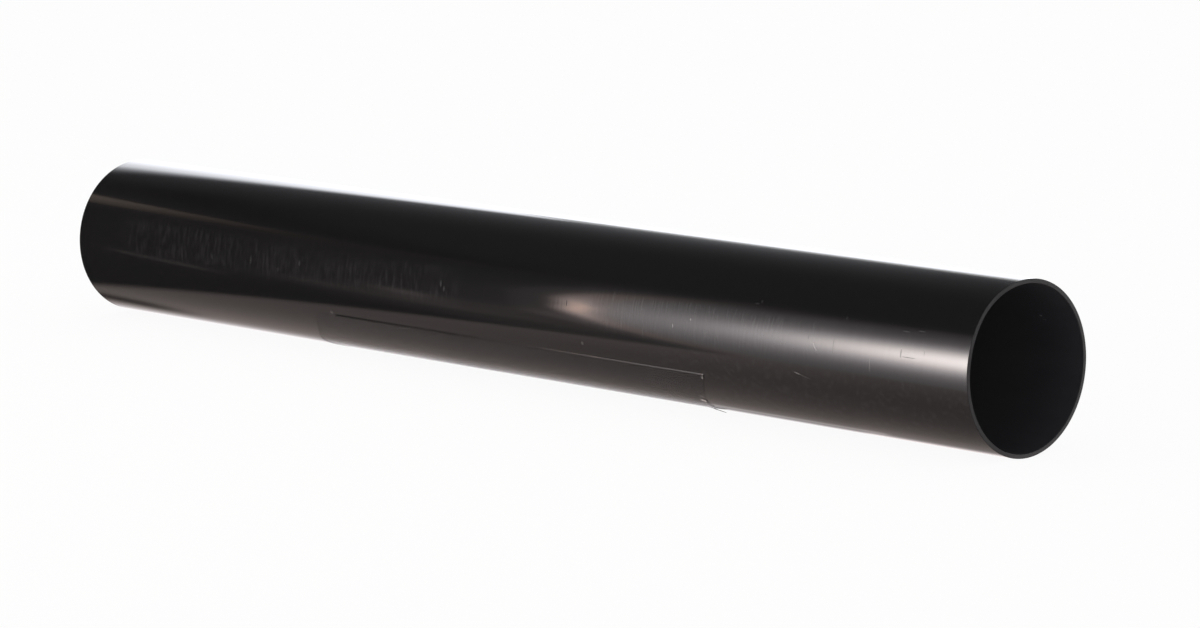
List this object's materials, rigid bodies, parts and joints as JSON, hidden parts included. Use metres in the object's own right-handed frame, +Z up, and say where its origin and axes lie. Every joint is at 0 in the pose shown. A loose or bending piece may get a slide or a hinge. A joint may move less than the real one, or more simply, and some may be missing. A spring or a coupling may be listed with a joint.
{
  "type": "round downpipe",
  "caption": "Straight length of thin-walled round rainwater downpipe in glossy black plastic, sawn square at both ends, with a strip of clear film stuck along it.",
  "frame": {"origin": "below the middle of the pipe's length, on the surface that it lies on", "axes": "+X along the pipe towards its open mouth in front, +Z up, -Y towards the side that carries the film"},
  "size_m": [0.53, 0.068, 0.068],
  "materials": {
    "black_plastic": "glossy extruded black plastic with fine rubbed scratches",
    "clear_film": "clear adhesive film, glossy"
  },
  "bodies": {
    "root": {"downpipe": "black_plastic", "clear_film": "clear_film"}
  },
  "joints": []
}
